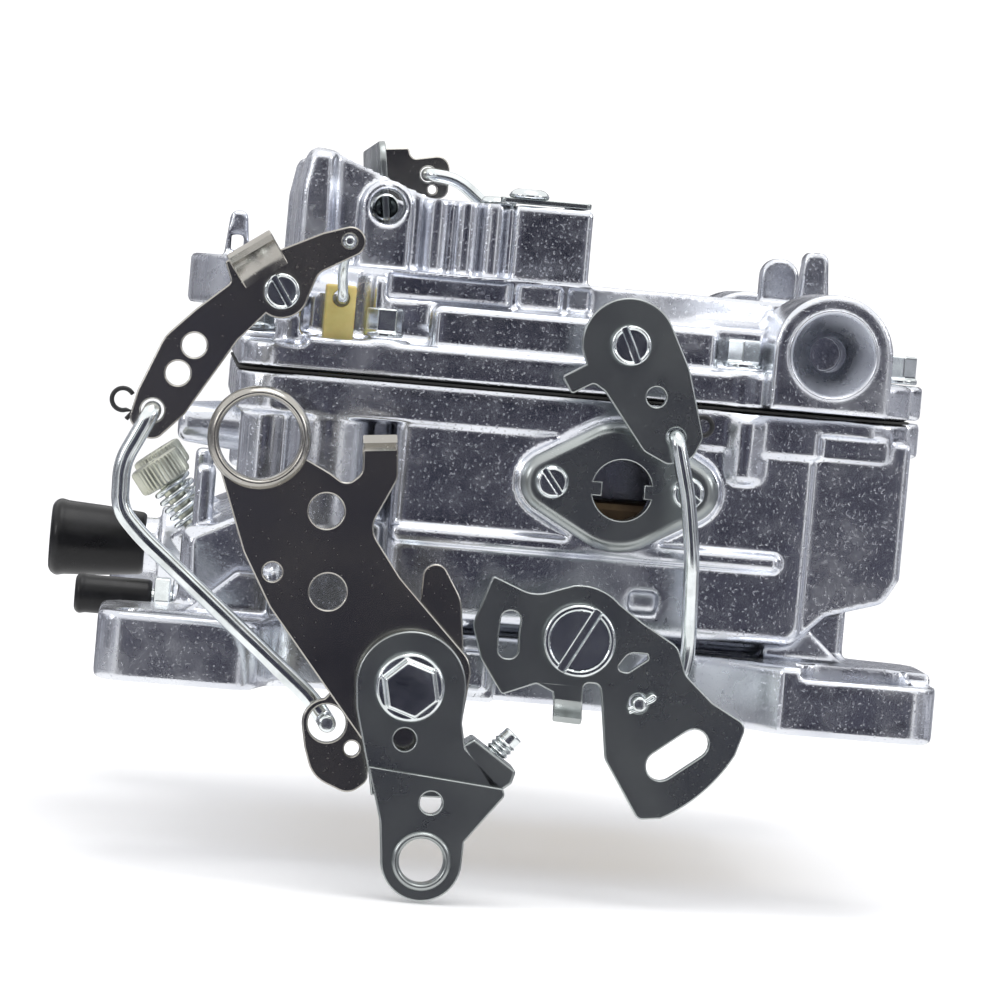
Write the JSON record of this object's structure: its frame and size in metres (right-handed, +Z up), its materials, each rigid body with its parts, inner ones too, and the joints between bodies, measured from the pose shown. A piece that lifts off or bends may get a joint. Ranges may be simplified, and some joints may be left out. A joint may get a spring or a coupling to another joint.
{
  "type": "carburetor",
  "caption": "Square-bore downdraft carburetor: two-piece aluminium body, throttle, pump, fast-idle and choke linkages, and a round air-cleaner ring.",
  "frame": {"origin": "middle of the base flange's bottom face, between the four bores", "axes": "+X from the front to the rear of the carburetor, +Y from the throttle-lever side to the choke side, +Z up out of the air horn"},
  "size_m": [0.1581, 0.2025, 0.1322],
  "materials": {
    "body_casting": "bright tumbled die casting",
    "cover_casting": "bright tumbled die casting",
    "inner_castings": "plain die casting",
    "gasket": "pressed fibre sheet",
    "screws": "bright zinc plate",
    "stamped_levers": "zinc-plated sheet steel, faint green-grey",
    "shafts_and_rods": "bright drawn wire and bar",
    "plated_fittings": "dull yellow-grey plating",
    "brass_parts": "plain brass",
    "rubber_caps": "smooth black rubber",
    "black_plastic": "moulded black plastic",
    "nylon": "moulded yellow nylon"
  },
  "bodies": {
    "root": {"air_horn": "cover_casting", "booster_primary_left": "inner_castings", "booster_primary_right": "inner_castings", "booster_secondary_left": "inner_castings", "booster_secondary_right": "inner_castings", "choke_cap": "black_plastic", "choke_housing": "cover_casting", "cover_gasket": "gasket", "cover_screw_1": "screws", "cover_screw_2": "screws", "cover_screw_3": "screws", "cover_screw_4": "screws", "cover_screw_5": "screws", "cover_screw_6": "screws", "cover_screw_7": "screws", "cover_screw_8": "screws", "idle_lever_pivot_screw": "screws", "main_body": "body_casting", "pump_lever_pivot_screw": "screws", "pump_nozzle": "inner_castings", "sector_pivot_screw": "screws", "side_plate": "stamped_levers", "side_plate_screw_1": "screws", "side_plate_screw_2": "screws", "step_up_cover_left": "stamped_levers", "step_up_cover_right": "stamped_levers", "vacuum_cap_large": "rubber_caps", "vacuum_cap_small": "rubber_caps", "vacuum_fitting": "plated_fittings"},
    "throttle": {"primary_shaft": "shafts_and_rods", "primary_throttle_plate_left": "brass_parts", "primary_throttle_plate_right": "brass_parts", "throttle_lever": "stamped_levers", "front_lever": "stamped_levers", "pump_arm": "stamped_levers", "lever_bolt": "screws", "primary_crank": "stamped_levers"},
    "idle_speed_screw": {"idle_speed_screw": "screws"},
    "secondary_throttle": {"secondary_shaft": "shafts_and_rods", "secondary_throttle_plate_left": "brass_parts", "secondary_throttle_plate_right": "brass_parts", "secondary_crank": "stamped_levers"},
    "secondary_link": {"secondary_link": "stamped_levers"},
    "pump_lever": {"pump_lever": "stamped_levers"},
    "pump_rod": {"pump_rod": "shafts_and_rods"},
    "pump_link": {"pump_link": "shafts_and_rods"},
    "pump_plunger": {"pump_plunger": "nylon"},
    "fast_idle_lever": {"fast_idle_lever": "stamped_levers"},
    "fast_idle_rod": {"fast_idle_rod": "shafts_and_rods"},
    "fast_idle_sector": {"fast_idle_sector": "stamped_levers"},
    "choke": {"choke_shaft": "shafts_and_rods", "choke_plate": "stamped_levers", "choke_lever": "stamped_levers"},
    "choke_rod": {"choke_rod": "shafts_and_rods"},
    "thermostat_lever": {"thermostat_lever": "stamped_levers"},
    "float_left": {"float_left": "brass_parts"},
    "float_right": {"float_right": "brass_parts"},
    "air_valve": {"air_valve": "inner_castings"},
    "mixture_screw_left": {"idle_mixture_screw_left": "plated_fittings"},
    "mixture_screw_right": {"idle_mixture_screw_right": "plated_fittings"}
  },
  "joints": [
    {"name": "throttle_turn", "type": "hinge", "parent": "root", "child": "throttle", "pos_m": [-0.0196, 0, 0.0045], "axis": [0, 1, 0], "range_deg": [0, 70]},
    {"name": "idle_speed_screw_turn", "type": "hinge", "parent": "throttle", "child": "idle_speed_screw", "pos_m": [-0.0051, -0.0906, -0.0076], "axis": [0.6606, 0, 0.7507], "continuous": true},
    {"name": "secondary_turn", "type": "hinge", "parent": "root", "child": "secondary_throttle", "pos_m": [0.0285, 0, 0.0045], "axis": [0, 1, 0], "range_deg": [0, 70]},
    {"name": "secondary_link_turn", "type": "hinge", "parent": "throttle", "child": "secondary_link", "pos_m": [-0.011, 0, 0.0014], "axis": [0, 1, 0], "range_deg": [-70, 0]},
    {"name": "pump_lever_turn", "type": "hinge", "parent": "root", "child": "pump_lever", "pos_m": [-0.0467, 0, 0.0694], "axis": [0, 1, 0], "range_deg": [0, 28.4]},
    {"name": "pump_rod_turn", "type": "hinge", "parent": "pump_lever", "child": "pump_rod", "pos_m": [-0.067, 0, 0.0472], "axis": [0, 1, 0], "range_deg": [-37.6, 0]},
    {"name": "pump_link_turn", "type": "hinge", "parent": "pump_lever", "child": "pump_link", "pos_m": [-0.0358, 0, 0.079], "axis": [0, 1, 0], "range_deg": [-8, 0]},
    {"name": "pump_plunger_slide", "type": "slide", "parent": "root", "child": "pump_plunger", "axis": [0, 0, -1], "range_m": [0, 0.00571]},
    {"name": "fast_idle_lever_turn", "type": "hinge", "parent": "root", "child": "fast_idle_lever", "pos_m": [0.0141, 0, 0.0653], "axis": [0, 1, 0], "range_deg": [-24, 0]},
    {"name": "fast_idle_rod_turn", "type": "hinge", "parent": "fast_idle_lever", "child": "fast_idle_rod", "pos_m": [0.0234, 0, 0.0502], "axis": [0, 1, 0], "range_deg": [0, 27.2]},
    {"name": "fast_idle_sector_turn", "type": "hinge", "parent": "root", "child": "fast_idle_sector", "pos_m": [0.0096, 0, 0.0138], "axis": [0, 1, 0], "range_deg": [-23, 0]},
    {"name": "choke_turn", "type": "hinge", "parent": "root", "child": "choke", "pos_m": [-0.0284, 0, 0.086], "axis": [0, 1, 0], "range_deg": [-72, 0]},
    {"name": "choke_rod_turn", "type": "hinge", "parent": "choke", "child": "choke_rod", "pos_m": [-0.016, 0, 0.0952], "axis": [0, 1, 0], "range_deg": [0, 72]},
    {"name": "thermostat_turn", "type": "hinge", "parent": "root", "child": "thermostat_lever", "pos_m": [0.018, 0, 0.05], "axis": [0, 1, 0], "range_deg": [-72, 0]},
    {"name": "float_left_turn", "type": "hinge", "parent": "root", "child": "float_left", "pos_m": [0.056, 0, 0.0505], "axis": [0, 1, 0], "range_deg": [0, 12]},
    {"name": "float_right_turn", "type": "hinge", "parent": "root", "child": "float_right", "pos_m": [0.056, 0, 0.0505], "axis": [0, 1, 0], "range_deg": [0, 12]},
    {"name": "air_valve_turn", "type": "hinge", "parent": "root", "child": "air_valve", "pos_m": [0.0285, 0, 0.051], "axis": [0, 1, 0], "range_deg": [0, 45]},
    {"name": "mixture_left_turn", "type": "hinge", "parent": "root", "child": "mixture_screw_left", "pos_m": [-0.0664, -0.022, 0.0362], "axis": [0.6046, 0, -0.7965], "continuous": true},
    {"name": "mixture_right_turn", "type": "hinge", "parent": "root", "child": "mixture_screw_right", "pos_m": [-0.0664, 0.022, 0.0362], "axis": [0.6046, 0, -0.7965], "continuous": true}
  ],
  "couplings": [
    {"joint": "secondary_turn", "follows": "throttle_turn", "ratio": 1},
    {"joint": "secondary_link_turn", "follows": "throttle_turn", "ratio": -1},
    {"joint": "pump_lever_turn", "follows": "throttle_turn", "ratio": 0.4013},
    {"joint": "pump_rod_turn", "follows": "throttle_turn", "ratio": -0.5323},
    {"joint": "pump_link_turn", "follows": "throttle_turn", "ratio": -0.1103},
    {"joint": "pump_plunger_slide", "follows": "throttle_turn", "m_per_rad": 0.004588},
    {"joint": "fast_idle_sector_turn", "follows": "fast_idle_lever_turn", "ratio": 0.9417},
    {"joint": "fast_idle_rod_turn", "follows": "fast_idle_lever_turn", "ratio": -1.118},
    {"joint": "choke_rod_turn", "follows": "choke_turn", "ratio": -1},
    {"joint": "thermostat_turn", "follows": "choke_turn", "ratio": 1}
  ]
}
